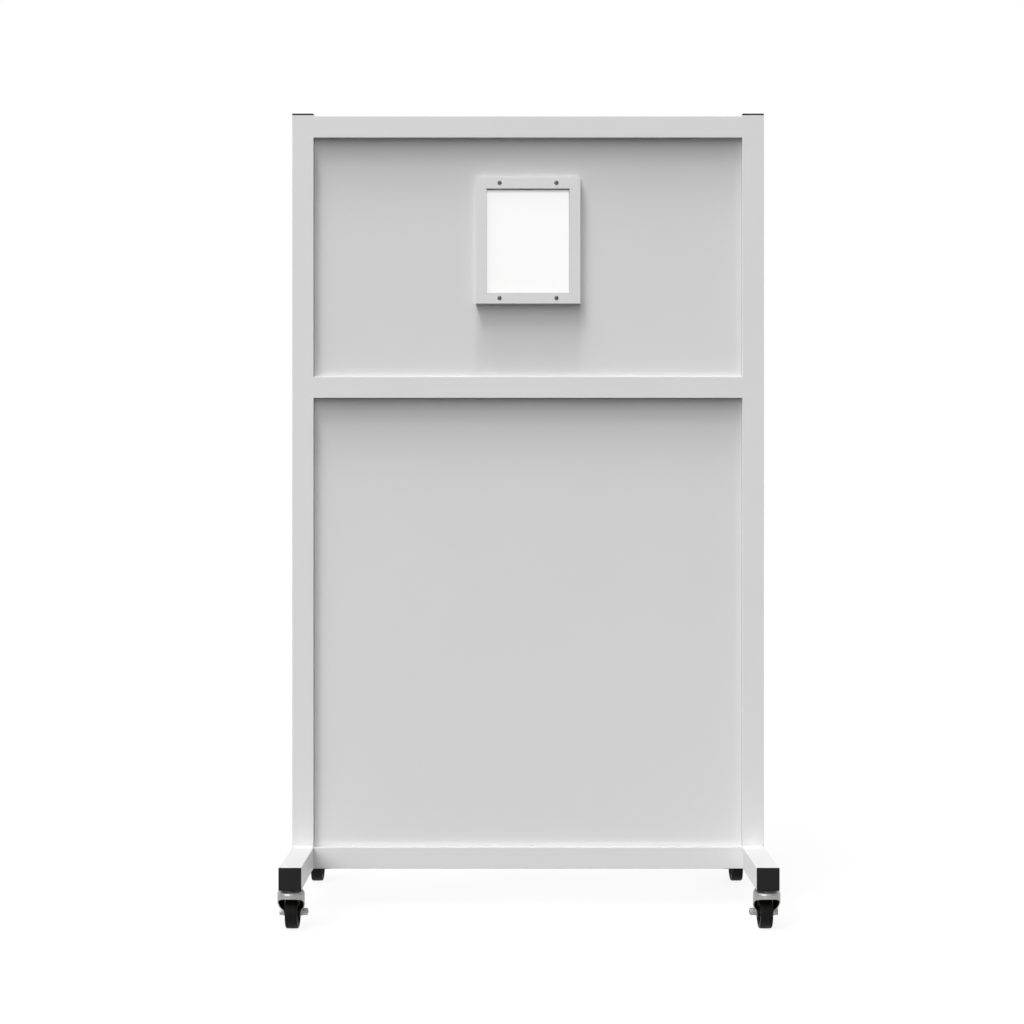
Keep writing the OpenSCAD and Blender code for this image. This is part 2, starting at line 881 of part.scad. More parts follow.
// Half outline of the crown, hollow below, with the dish that the cup turns in
module crown_outline() {
    union() {
        difference() {
            dome_outline(crown_r, leg_bend_top, crown_top, crown_round);
            dome_outline(crown_r - fork_wall, leg_bend_top - cut, crown_under,
                crown_round - fork_wall);
            square_between(-cut, crown_under - cut, dish_r, crown_top + cut);
        }
        square_between(0, dish_under, dish_r + fork_wall, dish_z);
        square_between(dish_r, dish_under, dish_r + fork_wall, crown_under + fork_wall / 2);
    }
}

// The space between the legs, open at the rear
module between_legs(top_z) {
    intersection() {
        translate([0, 0, -cut])
            linear_extrude(top_z + cut)
                leg_plan(-cut, leg_rear_y + cut, fork_wall);
        legs_from_front(crown_r + cut - fork_wall, fork_gap / 2, crown_top + crown_d);
    }
}

// The crown with its skirt, open to the rear below its dome
module crown() {
    difference() {
        intersection() {
            rotate_extrude($fn = round_fn) crown_outline();
            across(crown_d) side_view();
        }
        between_legs(min(leg_top_z, dish_under) - cut);
    }
}

module legs() {
    difference() {
        intersection() {
            linear_extrude(leg_top_z) leg_plan(0, leg_rear_y, 0);
            legs_from_front(crown_r + cut, axle_half, crown_top);
            across(crown_d) side_view();
        }
        between_legs(crown_top + crown_d);
    }
}

module legs_from_front(top_x, low_x, top_z) {
    rotate([90, 0, 0])
        translate([0, 0, -2 * crown_d])
            linear_extrude(4 * crown_d)
                front_view(top_x, low_x, top_z);
}

// The boss round the axle hole, on the outside of each leg
module bosses() {
    for (side = [0, 1])
        mirror([side, 0, 0])
            translate([0, trail, axle_z])
                cylinder_x(boss_d, axle_half - fork_wall / 2, axle_half + boss_h);
}

module fork(braked) {
    color(zinc)
        difference() {
            union() {
                crown();
                legs();
                bosses();
            }
            // kingpin hole and the groove that the balls run in
            cylinder(d = kingpin_d + 2 * run_fit, h = crown_top + cut, $fn = round_fn);
            rotate_extrude($fn = round_fn)
                translate([ball_ring_r, ball_z])
                    circle(r = ball_d / 2 + swivel_gap, $fn = small_fn);
            translate([0, trail, axle_z])
                cylinder_x(axle_d + 2 * run_fit, -crown_d, crown_d);
            if (braked)
                translate([0, brake_y, brake_z])
                    cylinder_x(brake_pin_d + 2 * run_fit, -crown_d, crown_d);
        }
}

// Axle: a bolt with a washer under its head, and a lock nut

bolt_face = axle_half + boss_h;   // where the washer and the nut bear on the bosses

module hexagon(h) {
    rotate([0, 90, 0]) cylinder(d = hex_af / cos(30), h = h, $fn = 6);
}

// The bolt's head is on the side away from the middle of the barrier
module axle() {
    color(zinc)
        translate([0, trail, axle_z]) {
            union() {
                cylinder_x(axle_d, -bolt_face - axle_washer_t - bolt_head_h / 2,
                    bolt_face + nut_h + thread_end);
                translate([-bolt_face - axle_washer_t - bolt_head_h, 0, 0])
                    hexagon(bolt_head_h);
                cylinder_x(boss_d - 1, -bolt_face - axle_washer_t, -bolt_face);
            }
            difference() {
                translate([bolt_face, 0, 0]) hexagon(nut_h);
                cylinder_x(axle_d + 2 * run_fit, 0, bolt_face + nut_h + cut);
            }
        }
}

module axle_sleeve() {
    color(zinc)
        translate([0, trail, axle_z])
            difference() {
                cylinder_x(sleeve_d, -fork_gap / 2, fork_gap / 2);
                cylinder_x(axle_d + 2 * run_fit, -fork_gap / 2 - cut, fork_gap / 2 + cut);
            }
}

// Wheel: a moulded core in a rubber tyre

core_r = wheel_r - tyre_t;
core_w = tyre_w - 4;
rim_inner_r = core_r - rim_t;

// Turns an outline with its axis upright into a wheel on the axle
module about_axle() {
    translate([0, trail, axle_z])
        rotate([0, 90, 0])
            rotate_extrude($fn = 2 * round_fn)
                children();
}

module wheel_core() {
    color(core_grey)
        union() {
            about_axle() {
                square_between(sleeve_d / 2 + run_fit, -hub_l / 2, hub_d / 2, hub_l / 2);
                square_between(hub_d / 2 - cut, -web_t / 2, rim_inner_r + cut, web_t / 2);
                square_between(rim_inner_r, -core_w / 2, core_r, core_w / 2);
            }
            translate([0, trail, axle_z])
                for (i = [0 : rib_count - 1])
                    rotate([i * 360 / rib_count, 0, 0])
                        translate([-core_w / 2 + 2, hub_d / 2 - cut, -rib_t / 2])
                            cube([core_w - 4, rim_inner_r - hub_d / 2 + 2 * cut, rib_t]);
        }
}

// Half outline of the tyre: an arched tread between two rounded shoulders
module tyre_outline() {
    edge_r = wheel_r - tread_crown;
    arch_r = (tyre_w * tyre_w / 4 + tread_crown * tread_crown) / (2 * tread_crown);
    inner_r = core_r + run_fit;
    intersection() {
        union() {
            square_between(inner_r, -tyre_w / 2 + 1, core_r + tyre_round, tyre_w / 2 - 1);
            square_between(core_r + tyre_round / 2, -tyre_w / 2, edge_r - tyre_round, tyre_w / 2);
            square_between(inner_r, -tyre_w / 2 + tyre_round, wheel_r, tyre_w / 2 - tyre_round);
            for (side = [-1, 1])
                translate([edge_r - tyre_round, side * (tyre_w / 2 - tyre_round)])
                    circle(r = tyre_round, $fn = small_fn);
        }
        translate([wheel_r - arch_r, 0]) circle(r = arch_r, $fn = 4 * round_fn);
    }
}

module tyre() {
    color(black_rubber)
        about_axle() tyre_outline();
}

// Brake: a pedal on a pin between the rear ears of the fork, with a shoe over the tread

barrel_half = leg_rear_half - fork_wall - 0.5;
rivet_head_r = brake_pin_d / 2 + 1.6;
rivet_head_h = 1.8;

module brake_pin() {
    head_out = leg_rear_half + rivet_head_h;
    color(zinc)
        translate([0, brake_y, brake_z])
            union() {
                cylinder_x(brake_pin_d, -head_out, head_out);
                for (side = [-1, 1])
                    cylinder_x(2 * rivet_head_r, side * (head_out - rivet_head_h / 2)
                        - rivet_head_h / 2, side * (head_out - rivet_head_h / 2)
                        + rivet_head_h / 2);
            }
}

shoe_gap = 2.5;         // from the tread to the shoe with the brake off
pedal_drop = 1.5;       // how far the pedal's end lies below its pin
pedal_edge_r = 6;

module brake_pedal() {
    end_y = brake_y + pedal_l;
    color(black_plastic)
        difference() {
            union() {
                translate([0, brake_y, brake_z])
                    cylinder_x(2 * brake_barrel_r, -barrel_half, barrel_half);
                // the plate and the shoe under it, seen from the side
                across(pedal_w / 2) plate_outline(end_y);
                across(tyre_w / 2 - 2) shoe_outline();
                for (i = [0 : pedal_ribs - 1])
                    translate([0, end_y - 4 - 4 * i, plate_top(end_y - 4 - 4 * i)])
                        cylinder_x(2, -pedal_w / 2 + pedal_edge_r, pedal_w / 2 - pedal_edge_r);
            }
            translate([0, brake_y, brake_z])
                cylinder_x(brake_pin_d + 2 * run_fit, -crown_d, crown_d);
            // rounded rear corners, seen from above
            for (side = [-1, 1])
                translate([side * (pedal_w / 2 - pedal_edge_r), end_y - pedal_edge_r, 0])
                    linear_extrude(crown_d * 2)
                        difference() {
                            square_between(min(0, side * 2 * pedal_edge_r), 0,
                                max(0, side * 2 * pedal_edge_r), 2 * pedal_edge_r);
                            circle(r = pedal_edge_r, $fn = small_fn);
                        }
        }
}

// Height of the plate's upper face, which falls from the pin to the pedal's end
function plate_top(y) =
    brake_z + brake_barrel_r - (y - brake_y) * pedal_drop / pedal_l;

module plate_outline(end_y) {
    polygon([[brake_y, plate_top(brake_y)], [end_y, plate_top(end_y)],
        [end_y, plate_top(end_y) - pedal_t], [brake_y, plate_top(brake_y) - pedal_t]]);
}

// The shoe follows the tread, one gap away from it
module shoe_outline() {
    difference() {
        square_between(brake_y + 1, brake_z - 10, brake_y + 9, plate_top(brake_y + 9) - 1);
        translate([trail, axle_z]) circle(r = wheel_r + shoe_gap, $fn = 2 * round_fn);
        translate([brake_y, brake_z]) circle(r = brake_pin_d / 2 + 1, $fn = small_fn);
    }
}

// The four casters. The axle's head points away from the middle of the barrier.

module caster(side, end) {
    in_frame()
        translate([side * upright_x, axis_y(end), 0])
            mirror([side > 0 ? 1 : 0, 0, 0])
                children();
}

module front_left_fork() { caster(-1, -1) fork(true); }
module front_left_axle() { caster(-1, -1) axle(); }
module front_left_axle_sleeve() { caster(-1, -1) axle_sleeve(); }
module front_left_wheel_core() { caster(-1, -1) wheel_core(); }
module front_left_tyre() { caster(-1, -1) tyre(); }
module front_left_brake_pin() { caster(-1, -1) brake_pin(); }
module front_left_brake_pedal() { caster(-1, -1) brake_pedal(); }
module front_right_fork() { caster(1, -1) fork(true); }
module front_right_axle() { caster(1, -1) axle(); }
module front_right_axle_sleeve() { caster(1, -1) axle_sleeve(); }
module front_right_wheel_core() { caster(1, -1) wheel_core(); }
module front_right_tyre() { caster(1, -1) tyre(); }
module front_right_brake_pin() { caster(1, -1) brake_pin(); }
module front_right_brake_pedal() { caster(1, -1) brake_pedal(); }
module rear_left_fork() { caster(-1, 1) fork(false); }
module rear_left_axle() { caster(-1, 1) axle(); }
module rear_left_axle_sleeve() { caster(-1, 1) axle_sleeve(); }
module rear_left_wheel_core() { caster(-1, 1) wheel_core(); }
module rear_left_tyre() { caster(-1, 1) tyre(); }
module rear_right_fork() { caster(1, 1) fork(false); }
module rear_right_axle() { caster(1, 1) axle(); }
module rear_right_axle_sleeve() { caster(1, 1) axle_sleeve(); }
module rear_right_wheel_core() { caster(1, 1) wheel_core(); }
module rear_right_tyre() { caster(1, 1) tyre(); }

left_upright();
right_upright();
top_rail();
middle_rail();
bottom_rail();
left_foot();
right_foot();
upright_caps();
foot_caps();
stem_inserts();
upper_front_laminate();
upper_front_core();
upper_lead_sheet();
upper_back_core();
upper_back_laminate();
lower_front_laminate();
lower_front_core();
lower_lead_sheet();
lower_back_core();
lower_back_laminate();
upper_retaining_angles();
lower_retaining_angles();
retaining_screws();
window_frame_front();
window_frame_rear();
window_gaskets();
lead_glass();
window_liner();
window_screws();
window_sleeve_nuts();
caster_stems();
caster_washers();
swivel_balls();
front_left_fork();
front_left_axle();
front_left_axle_sleeve();
front_left_wheel_core();
front_left_tyre();
front_left_brake_pin();
front_left_brake_pedal();
front_right_fork();
front_right_axle();
front_right_axle_sleeve();
front_right_wheel_core();
front_right_tyre();
front_right_brake_pin();
front_right_brake_pedal();
rear_left_fork();
rear_left_axle();
rear_left_axle_sleeve();
rear_left_wheel_core();
rear_left_tyre();
rear_right_fork();
rear_right_axle();
rear_right_axle_sleeve();
rear_right_wheel_core();
rear_right_tyre();
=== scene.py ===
import json
import math

import bmesh
import bpy
from mathutils import Matrix, Vector

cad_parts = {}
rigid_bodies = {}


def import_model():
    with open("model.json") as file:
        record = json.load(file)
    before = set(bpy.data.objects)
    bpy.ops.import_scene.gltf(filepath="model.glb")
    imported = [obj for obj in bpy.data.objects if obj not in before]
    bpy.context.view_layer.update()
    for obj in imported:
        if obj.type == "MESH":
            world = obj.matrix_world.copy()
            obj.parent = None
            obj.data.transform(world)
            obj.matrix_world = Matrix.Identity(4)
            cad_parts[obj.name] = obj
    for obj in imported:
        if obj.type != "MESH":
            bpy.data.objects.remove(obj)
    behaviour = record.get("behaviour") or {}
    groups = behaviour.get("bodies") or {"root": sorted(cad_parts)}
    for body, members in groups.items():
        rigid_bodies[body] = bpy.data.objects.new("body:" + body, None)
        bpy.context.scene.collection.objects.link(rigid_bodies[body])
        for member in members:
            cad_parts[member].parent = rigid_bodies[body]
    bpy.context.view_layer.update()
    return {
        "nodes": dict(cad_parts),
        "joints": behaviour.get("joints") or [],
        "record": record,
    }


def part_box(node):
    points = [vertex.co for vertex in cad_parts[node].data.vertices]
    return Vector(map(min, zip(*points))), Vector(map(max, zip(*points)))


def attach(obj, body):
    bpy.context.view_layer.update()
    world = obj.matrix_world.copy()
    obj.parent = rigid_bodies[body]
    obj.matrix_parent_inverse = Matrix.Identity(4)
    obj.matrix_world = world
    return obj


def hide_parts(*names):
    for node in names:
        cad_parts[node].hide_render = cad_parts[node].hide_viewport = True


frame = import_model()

NODES = frame["nodes"]
CORNERS = ["front_left", "front_right", "rear_left", "rear_right"]
FRAME_BODY = "frame"
SIDES = (-1, 1)           # left and right, or front and rear
MM = 0.001


def add_object(name, data):
    """A new object in the scene, from its mesh, camera or lamp data."""
    obj = bpy.data.objects.new(name, data)
    bpy.context.scene.collection.objects.link(obj)
    return obj


# Camera

# The view is level, from the front and a little left of the middle, with the lens near half height
CAMERA_AT = (-0.0379, -3.933, 0.9408)
SENSOR = 36.0
LENS = 57.59
VIEW_END = 200.0

camera_data = bpy.data.cameras.new("camera")
camera_data.sensor_width = SENSOR
camera_data.lens = LENS
camera_data.clip_end = VIEW_END
camera = add_object("camera", camera_data)
camera.location = CAMERA_AT
camera.rotation_euler = (math.radians(90), 0, 0)
bpy.context.scene.camera = camera
bpy.context.scene.view_settings.view_transform = "Standard"


# Node helpers

NOISE_RANGE = (0.3, 0.7)  # nearly all values of a noise texture lie in it


def start_material(name):
    """A node material: itself, its tree, its shader and the object's own coordinates."""
    mat = bpy.data.materials.new(name)
    mat.use_nodes = True
    nt = mat.node_tree
    coords = nt.nodes.new("ShaderNodeTexCoord")
    return mat, nt, nt.nodes["Principled BSDF"], coords.outputs["Object"]


def maths(nt, operation, *values):
    """A math node. Each value is a number or the output of another node."""
    node = nt.nodes.new("ShaderNodeMath")
    node.operation = operation
    for socket, value in zip(node.inputs, values):
        if isinstance(value, float):
            socket.default_value = value
        else:
            nt.links.new(value, socket)
    return node.outputs["Value"]


def map_range(nt, value, source, target=(0.0, 1.0), kind="LINEAR"):
    """The value with the source range mapped to the target range, and held at its ends."""
    node = nt.nodes.new("ShaderNodeMapRange")
    node.interpolation_type = kind
    for socket, limit in zip(("From Min", "From Max", "To Min", "To Max"), (*source, *target)):
        node.inputs[socket].default_value = limit
    nt.links.new(value, node.inputs["Value"])
    return node.outputs["Result"]


def noise(nt, coords, scale, detail=2.0, rough=0.5):
    node = nt.nodes.new("ShaderNodeTexNoise")
    node.inputs["Scale"].default_value = scale
    node.inputs["Detail"].default_value = detail
    node.inputs["Roughness"].default_value = rough
    nt.links.new(coords, node.inputs["Vector"])
    return node.outputs["Fac"]


def streaks(nt, coords, scales, detail, rough=0.5):
    """Noise with its own scale along each axis."""
    node = nt.nodes.new("ShaderNodeMapping")
    node.inputs["Scale"].default_value = scales
    nt.links.new(coords, node.inputs["Vector"])
    return noise(nt, node.outputs["Vector"], 1.0, detail, rough)


def ramp(nt, factor, stops):
    """A colour ramp from a list of (position, colour)."""
    node = nt.nodes.new("ShaderNodeValToRGB")
    elements = node.color_ramp.elements
    while len(elements) < len(stops):
        elements.new(0.5)
    for element, (position, colour) in zip(elements, stops):
        element.position = position
        element.color = (*colour, 1.0)
    nt.links.new(factor, node.inputs["Fac"])
    return node.outputs["Color"]


def two_tones(nt, pattern, dark, pale):
    """The colours between two, by a noise pattern."""
    return ramp(nt, pattern, list(zip(NOISE_RANGE, (dark, pale))))


def vary_roughness(nt, shader, pattern, low, high):
    nt.links.new(map_range(nt, pattern, NOISE_RANGE, (low, high)), shader.inputs["Roughness"])


def bump(nt, shader, pattern, depth):
    """Relief from a pattern, with its depth in metres."""
    node = nt.nodes.new("ShaderNodeBump")
    node.inputs["Distance"].default_value = depth
    nt.links.new(pattern, node.inputs["Height"])
    nt.links.new(node.outputs["Normal"], shader.inputs["Normal"])


def grey(value):
    return (value, value, value)


def shade(colour, factor):
    return tuple(min(1.0, c * factor) for c in colour)


# Materials

GLOSS_SCALE = 2.3         # patches of gloss are this much finer than those of tone
GLOSS_SPREAD = 0.05

PLY_DARK = (0.42, 0.27, 0.14)
PLY_PALE = (0.74, 0.58, 0.38)
GLASS_COOL = (0.95, 0.97, 0.93)
GLASS_WARM = (0.97, 0.98, 0.95)
GLASS_ALPHA = 0.09
ZINC = (0.40, 0.385, 0.37)
# Painted shade: near-black zinc for the inner faces of the forks
ZINC_SHADED = (0.030, 0.030, 0.028)
RUBBER = (0.007, 0.007, 0.0075)
RUBBER_DARK = (0.004, 0.004, 0.0045)
RUBBER_SCUFFED = (0.018, 0.0175, 0.017)

# The inner faces of a fork, which get painted shade, in millimetres from its swivel axis and the
# floor: a round wall under the crown, with sides that bend in to the axle's width
FORK_ROUND = 28.3            # radius of the wall
FORK_BEND = (38.0, 60.0)     # heights where the bend starts and ends
FORK_SIDES = (18.5, 29.0)    # half widths below and above it
FORK_ROOF = 89.3             # underside of the crown

# The sockets of a Mix node for colours
MIX_FACTOR, MIX_FIRST, MIX_SECOND = 0, 6, 7
MIX_RESULT = 2


def coated(name, colour, spread, patch, roughness, grain, depth, metallic=0.0, specular=0.5):
    """A surface with soft patches of tone and gloss, and a fine grain in its relief.
    patch and grain are the noise scales per metre; depth is the grain's, in metres."""
    mat, nt, shader, coords = start_material(name)
    patches = noise(nt, coords, patch, detail=3.0, rough=0.6)
    tone = two_tones(nt, patches, shade(colour, 1 - spread), shade(colour, 1 + spread))
    nt.links.new(tone, shader.inputs["Base Color"])
    gloss = noise(nt, coords, patch * GLOSS_SCALE)
    vary_roughness(nt, shader, gloss, roughness - GLOSS_SPREAD, roughness + GLOSS_SPREAD)
    shader.inputs["Metallic"].default_value = metallic
    shader.inputs["Specular IOR Level"].default_value = specular
    bump(nt, shader, noise(nt, coords, grain), depth)
    return mat


def plywood():
    """Pale veneers in layers across the board, with streaks of grain."""
    mat, nt, shader, coords = start_material("plywood")
    layers = streaks(nt, coords, (0.0, 700.0, 0.0), detail=0.0)
    grain = streaks(nt, coords, (6.0, 300.0, 90.0), detail=4.0, rough=0.6)
    wood = maths(nt, "MULTIPLY", layers, grain)
    nt.links.new(ramp(nt, wood, [(0.1, PLY_DARK), (0.35, PLY_PALE)]), shader.inputs["Base Color"])
    shader.inputs["Roughness"].default_value = 0.7
    bump(nt, shader, grain, depth=0.0002)
    return mat


def clear_glass():
    """Heavy leaded glass: clear, with a faint tint and a polished face."""
    mat, nt, shader, coords = start_material("lead_glass")
    tint = two_tones(nt, noise(nt, coords, 3.0, detail=1.0), GLASS_COOL, GLASS_WARM)
    nt.links.new(tint, shader.inputs["Base Color"])
    shader.inputs["Roughness"].default_value = 0.03
    shader.inputs["Alpha"].default_value = GLASS_ALPHA
    bump(nt, shader, noise(nt, coords, 12.0, detail=1.0), depth=0.00002)
    return mat


def fork_inside(nt, coords, axis):
    """1 on the inner faces of the fork that turns round this axis, and 0 elsewhere."""
    from_axis = nt.nodes.new("ShaderNodeMapping")
    from_axis.inputs["Scale"].default_value = (1 / MM, 1 / MM, 1 / MM)
    from_axis.inputs["Location"].default_value = (-axis[0] / MM, -axis[1] / MM, 0.0)
    nt.links.new(coords, from_axis.inputs["Vector"])
    split = nt.nodes.new("ShaderNodeSeparateXYZ")
    nt.links.new(from_axis.outputs["Vector"], split.inputs["Vector"])
    x, y, z = split.outputs
    squares = maths(nt, "ADD", maths(nt, "MULTIPLY", x, x), maths(nt, "MULTIPLY", y, y))
    half_width = map_range(nt, z, FORK_BEND, FORK_SIDES, "SMOOTHSTEP")
    wall = maths(nt, "LESS_THAN", maths(nt, "SQRT", squares), FORK_ROUND)
    sides = maths(nt, "LESS_THAN", maths(nt, "ABSOLUTE", x), half_width)
    roof = maths(nt, "LESS_THAN", z, FORK_ROOF)
    return maths(nt, "MULTIPLY", maths(nt, "MULTIPLY", wall, sides), roof)


def zinc_plate(name, fork_axis=None):
    """Zinc plating: warm grey metal with a faint bloom and fine drawing lines. A fork, given by
    its swivel axis, gets painted shade on its inner faces: near-black zinc that varies with the
    bloom."""
    mat, nt, shader, coords = start_material(name)
    bloom = noise(nt, coords, 90.0, detail=4.0, rough=0.6)
    tone = ramp(nt, bloom, [(0.3, shade(ZINC, 0.86)), (0.55, ZINC), (0.75, shade(ZINC, 1.14))])
    if fork_axis:
        # Painted shade on the fork's inner faces, mixed over the zinc tone by the mask
        painted_shade_mix = nt.nodes.new("ShaderNodeMix")
        painted_shade_mix.data_type = "RGBA"
        painted_shade = two_tones(nt, bloom, shade(ZINC_SHADED, 0.7), ZINC_SHADED)
        nt.links.new(fork_inside(nt, coords, fork_axis), painted_shade_mix.inputs[MIX_FACTOR])
        nt.links.new(tone, painted_shade_mix.inputs[MIX_FIRST])
        nt.links.new(painted_shade, painted_shade_mix.inputs[MIX_SECOND])
        tone = painted_shade_mix.outputs[MIX_RESULT]
    nt.links.new(tone, shader.inputs["Base Color"])
    vary_roughness(nt, shader, noise(nt, coords, 160.0, detail=3.0), low=0.28, high=0.46)
    shader.inputs["Metallic"].default_value = 0.75
    lines = streaks(nt, coords, (900.0, 900.0, 120.0), detail=2.0)
    bump(nt, shader, lines, depth=0.00003)
    return mat


def tyre_rubber():
    """Black rubber with dusty scuffs and fine pits."""
    mat, nt, shader, coords = start_material("tyre")
    scuffs = streaks(nt, coords, (160.0, 60.0, 60.0), detail=5.0, rough=0.65)
    tone = ramp(nt, scuffs, [(0.35, RUBBER_DARK), (0.6, RUBBER), (0.8, RUBBER_SCUFFED)])
    nt.links.new(tone, shader.inputs["Base Color"])
    vary_roughness(nt, shader, noise(nt, coords, 120.0, detail=3.0), low=0.45, high=0.62)
    shader.inputs["Specular IOR Level"].default_value = 0.12
    bump(nt, shader, noise(nt, coords, 2500.0, detail=3.0), depth=0.00006)
    return mat


MATERIALS = {
    "powder_coat": coated("powder_coat", grey(0.80), spread=0.012, patch=3.0, roughness=0.42,
                          grain=900.0, depth=0.00006),
    "panel_laminate": coated("panel_laminate", grey(0.79), spread=0.010, patch=2.0,
                             roughness=0.50, grain=1400.0, depth=0.00003),
    "panel_core": plywood(),
    "lead": coated("lead", (0.17, 0.18, 0.20), spread=0.12, patch=14.0, roughness=0.55,
                   grain=220.0, depth=0.0001, metallic=0.6),
    "lead_glass": clear_glass(),
    "black_plastic": coated("black_plastic", grey(0.007), spread=0.15, patch=40.0,
                            roughness=0.45, grain=1800.0, depth=0.00005, specular=0.2),
    "black_rubber": coated("black_rubber", grey(0.010), spread=0.2, patch=60.0, roughness=0.7,
                           grain=1500.0, depth=0.00004, specular=0.2),
    "screw_steel": coated("screw_steel", (0.11, 0.11, 0.115), spread=0.2, patch=300.0,
                          roughness=0.42, grain=2500.0, depth=0.00002, metallic=0.8),
    "zinc_steel": zinc_plate("zinc_steel"),
    "ball_steel": coated("ball_steel", (0.62, 0.62, 0.63), spread=0.05, patch=200.0,
                         roughness=0.18, grain=900.0, depth=0.00001, metallic=1.0),
    "wheel_core": coated("wheel_core", (0.010, 0.010, 0.0105), spread=0.2, patch=70.0,
                         roughness=0.36, grain=1600.0, depth=0.00004, specular=0.25),
    "tyre": tyre_rubber(),
}

slot_of = {part["node"]: part["material_slot"] for part in frame["record"]["subparts"]}
for name, obj in NODES.items():
    obj.data.materials.clear()
    obj.data.materials.append(MATERIALS[slot_of[name]])

joint_at = {joint["name"]: joint["pos_m"] for joint in frame["joints"]}
# Each fork gets its own zinc, with painted shade on its inner faces
for corner in CORNERS:
    fork_zinc = zinc_plate(corner + "_fork_zinc", joint_at[corner + "_swivel_turn"])
    NODES[corner + "_fork"].data.materials[0] = fork_zinc


# Turned pieces

# A profile is a list of (radius, height) in millimetres. A radius is a number or a function of
# the angle.
ROUND = 48                # points round a turned piece
SHARP = 35.0              # edges over this angle stay sharp


def hexagon(across):
    """Radius of a hexagon, by angle, from its size across the flats."""
    return lambda turn: across / 2 / math.cos((turn + math.pi / 6) % (math.pi / 3) - math.pi / 6)


def turned_off(outline, r):
    """An outline whose corners are turned off at radius r."""
    return lambda turn: min(outline(turn), r)


def cross(length, half_width):
    """Radius of a cross recess with four arms."""
    def radius(turn):
        off = math.sin(abs((turn + math.pi / 4) % (math.pi / 2) - math.pi / 4))
        return length if length * off < half_width else half_width / off
    return radius


def turned(profile, count=ROUND):
    """The profile as closed rings of points, in metres."""
    rings = []
    for radius, z in profile:
        ring = []
        for i in range(count):
            turn = 2 * math.pi * i / count
            r = radius(turn) if callable(radius) else radius
            ring.append(Vector((r * math.cos(turn), r * math.sin(turn), z)) * MM)
        rings.append(ring)
    return rings


def add_rings(bm, rings, place):
    """Joins rings of points by bands of quads, with a face on each end."""
    rows = [[bm.verts.new(place @ p) for p in ring] for ring in rings]
    count = len(rows[0])
    for low, high in zip(rows, rows[1:]):
        for i in range(count):
            j = (i + 1) % count
            bm.faces.new((low[i], low[j], high[j], high[i]))
    bm.faces.new(list(reversed(rows[0])))
    bm.faces.new(rows[-1])


def ringed_piece(name, shapes, body, slot, nodes):
    """An object made of ring lists, each with its place. It rides on a body and takes the
    place of CAD nodes."""
    mesh = bpy.data.meshes.new(name)
    bm = bmesh.new()
    for rings, place in shapes:
        add_rings(bm, rings, place)
    bmesh.ops.recalc_face_normals(bm, faces=bm.faces)
    bm.to_mesh(mesh)
    bm.free()
    mesh.shade_smooth()
    mesh.set_sharp_from_angle(angle=math.radians(SHARP))
    obj = add_object(name, mesh)
    mesh.materials.append(MATERIALS[slot])
    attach(obj, body)
    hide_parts(*nodes)


# Places in the frame

def span(node, axis):
    """A node's lowest and highest place along an axis, in millimetres."""
    low, high = (corner["xyz".index(axis)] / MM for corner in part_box(node))
    return low, high


def middle_of(node):
    """The middle of a node's box, in metres."""
    low, high = (Vector(corner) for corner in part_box(node))
    return (low + high) / 2


FRAME_Y = middle_of("left_upright").y
WINDOW = middle_of("lead_glass")
UPRIGHT_X = middle_of("right_upright").x / MM
HALF_TUBE = span("right_upright", "x")[1] - UPRIGHT_X
RAIL_END = span("top_rail", "x")[1]
PANEL_REAR = span("upper_back_laminate", "y")[1]


# Screws

CHAMFER = 0.5             # at the end of a shank and on the corners of a hexagon
BEVEL = 0.2               # on the edges of a washer or sleeve
HEAD_RIM = 0.3            # under the edge of a domed head
SHOULDER_IN = 0.08        # from that edge to the foot of the dome
SHOULDER_UP = 0.15
DOME_STEPS = 6
RECESS_LAND = 0.25        # from the recess to the top of the dome
RECESS_LIP = 0.02
RECESS_POINT = 0.35       # depth of the hollow in the recess's floor
POINT_SHARE = 0.3         # its width at the bottom, as a share of the recess


def dome(r, h, top_r):
    """Profile of a dome from its foot to the radius top_r."""
    sphere = (r * r + h * h) / (2 * h)
    low = math.asin(min(1.0, r / sphere))
    high = math.asin(top_r / sphere)
    angles = [low + (high - low) * i / DOME_STEPS for i in range(DOME_STEPS + 1)]
    return [(sphere * math.sin(a), h - sphere + sphere * math.cos(a)) for a in angles]


def domed_head(head_r, head_h, recess, depth):
    """Profile of a domed head from its underside over the top and down into its recess."""
    reach = max(recess(2 * math.pi * i / ROUND) for i in range(ROUND))
    top = dome(head_r - SHOULDER_IN, head_h - HEAD_RIM - SHOULDER_UP, reach + RECESS_LAND)
    return ([(head_r - HEAD_RIM, 0), (head_r, HEAD_RIM)]
            + [(r, HEAD_RIM + SHOULDER_UP + z) for r, z in top]
            + [(recess, head_h - RECESS_LIP), (recess, head_h - depth),
               (lambda turn: recess(turn) * POINT_SHARE, head_h - depth - RECESS_POINT)])


def screw(r, length, head):
    """Profile of a screw whose head stands on the height 0."""
    return [(r - CHAMFER, -length), (r, -length + CHAMFER), (r, 0)] + head


FACE_FRONT = Matrix.Rotation(math.radians(90), 4, "X")     # a screw's head points to the front
FACE_REAR = Matrix.Rotation(math.radians(-90), 4, "X")

# Window screws in front, and behind them the nuts whose sleeves they run into
WINDOW_SCREW_X = 67.35    # from the middle of the glass
WINDOW_SCREW_UP = 136.55
WINDOW_SCREW_R = 2.5
WINDOW_SHANK = 38.1
SLEEVE_BORE_R = 2.55
SLEEVE_R = 4.0
WINDOW_HEAD = domed_head(head_r=5.0, head_h=2.6, recess=hexagon(across=3.0), depth=1.5)

window_screw = turned(screw(WINDOW_SCREW_R, WINDOW_SHANK, WINDOW_HEAD))
window_nut = turned([
    (SLEEVE_BORE_R, 0), (SLEEVE_BORE_R, -WINDOW_SHANK), (SLEEVE_R - BEVEL, -WINDOW_SHANK),
    (SLEEVE_R, BEVEL - WINDOW_SHANK), (SLEEVE_R, 0)] + WINDOW_HEAD)


